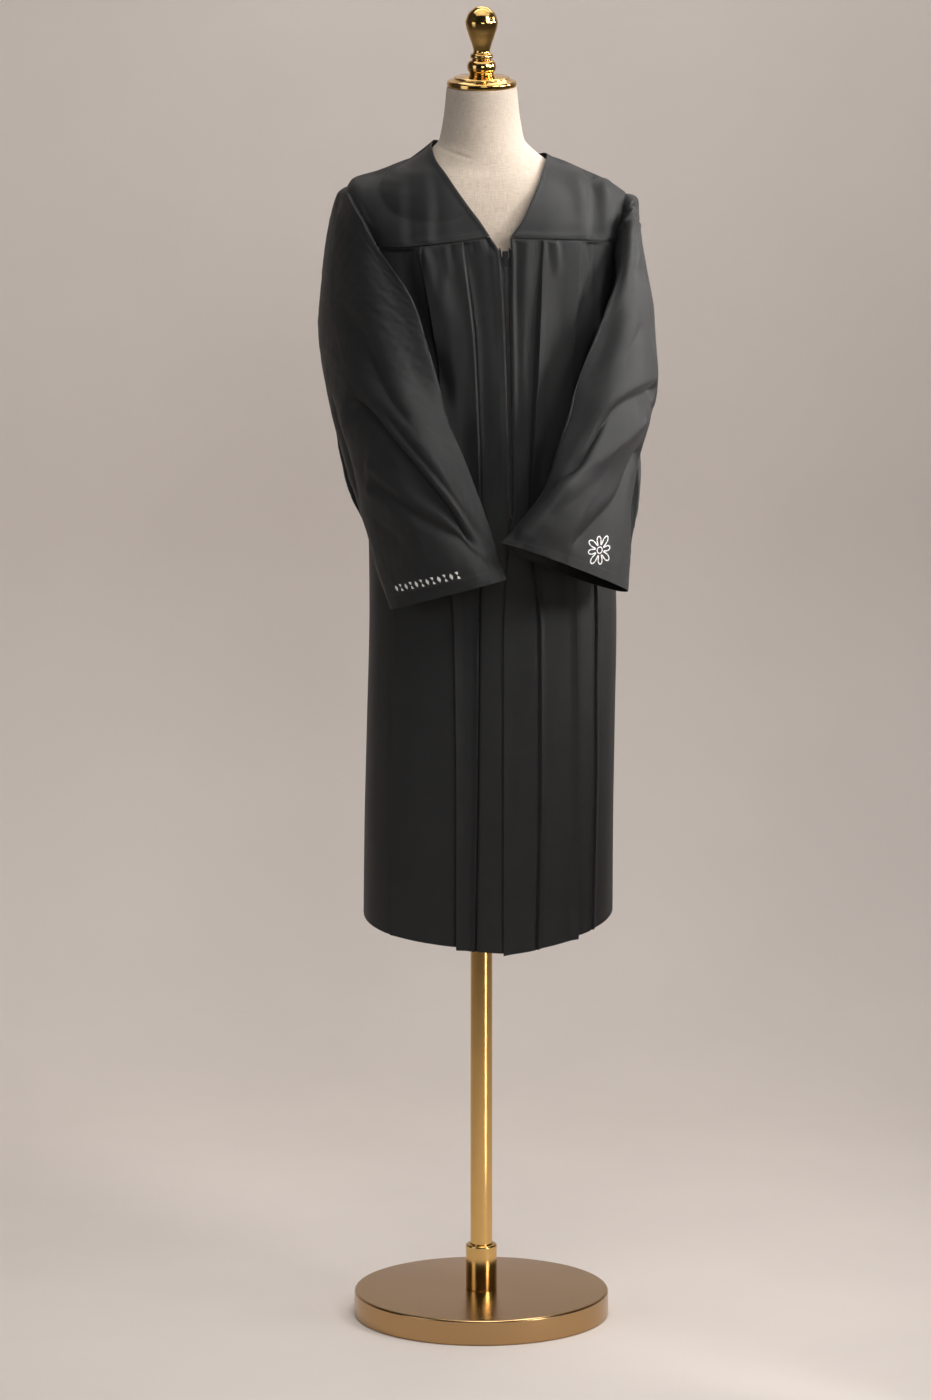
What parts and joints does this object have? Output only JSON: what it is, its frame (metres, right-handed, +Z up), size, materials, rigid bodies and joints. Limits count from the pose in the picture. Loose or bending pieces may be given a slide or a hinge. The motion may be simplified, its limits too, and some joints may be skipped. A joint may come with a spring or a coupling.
{
  "type": "graduation gown on a dress form",
  "caption": "Pleated graduation gown with a yoke, bell sleeves and a front zip, worn by a limbless dress form on a pole with a heavy round base.",
  "frame": {"origin": "centre of the underside of the stand's base, on the floor", "axes": "+Z up along the pole, -Y towards the gown's front, +X towards the wearer's left"},
  "size_m": [0.5039, 0.423, 1.997],
  "materials": {
    "gown_cloth": "black satin-faced polyester with a soft sheen",
    "zip_tape": "black woven tape",
    "zip_teeth": "black moulded teeth",
    "zip_metal": "black enamelled die-cast zinc",
    "zip_stop": "bright crimped metal",
    "form_linen": "natural linen, stretched smooth over the form",
    "bright_brass": "polished and lacquered",
    "brushed_brass": "turned with fine concentric brushing"
  },
  "bodies": {
    "gown_on_form": {"yoke_front_right": "gown_cloth", "yoke_front_left": "gown_cloth", "yoke_back": "gown_cloth", "front_right": "gown_cloth", "front_left": "gown_cloth", "back": "gown_cloth", "sleeve_right": "gown_cloth", "sleeve_left": "gown_cloth", "zip_tape_right": "zip_tape", "zip_tape_left": "zip_tape", "zip_chain": "zip_teeth", "zip_slider": "zip_metal", "zip_stop_right": "zip_stop", "zip_stop_left": "zip_stop", "form_torso": "form_linen", "neck_cap": "bright_brass", "finial": "bright_brass", "base_disc": "brushed_brass", "pole_collar": "bright_brass", "pole": "bright_brass"},
    "pull_tab": {"zip_pull_tab": "zip_metal"}
  },
  "joints": [
    {"name": "zip_pull_swing", "type": "hinge", "parent": "gown_on_form", "child": "pull_tab", "pos_m": [0.03467, -0.11437, 1.64285], "axis": [-1, 0, 0], "range_deg": [0, 130]}
  ]
}
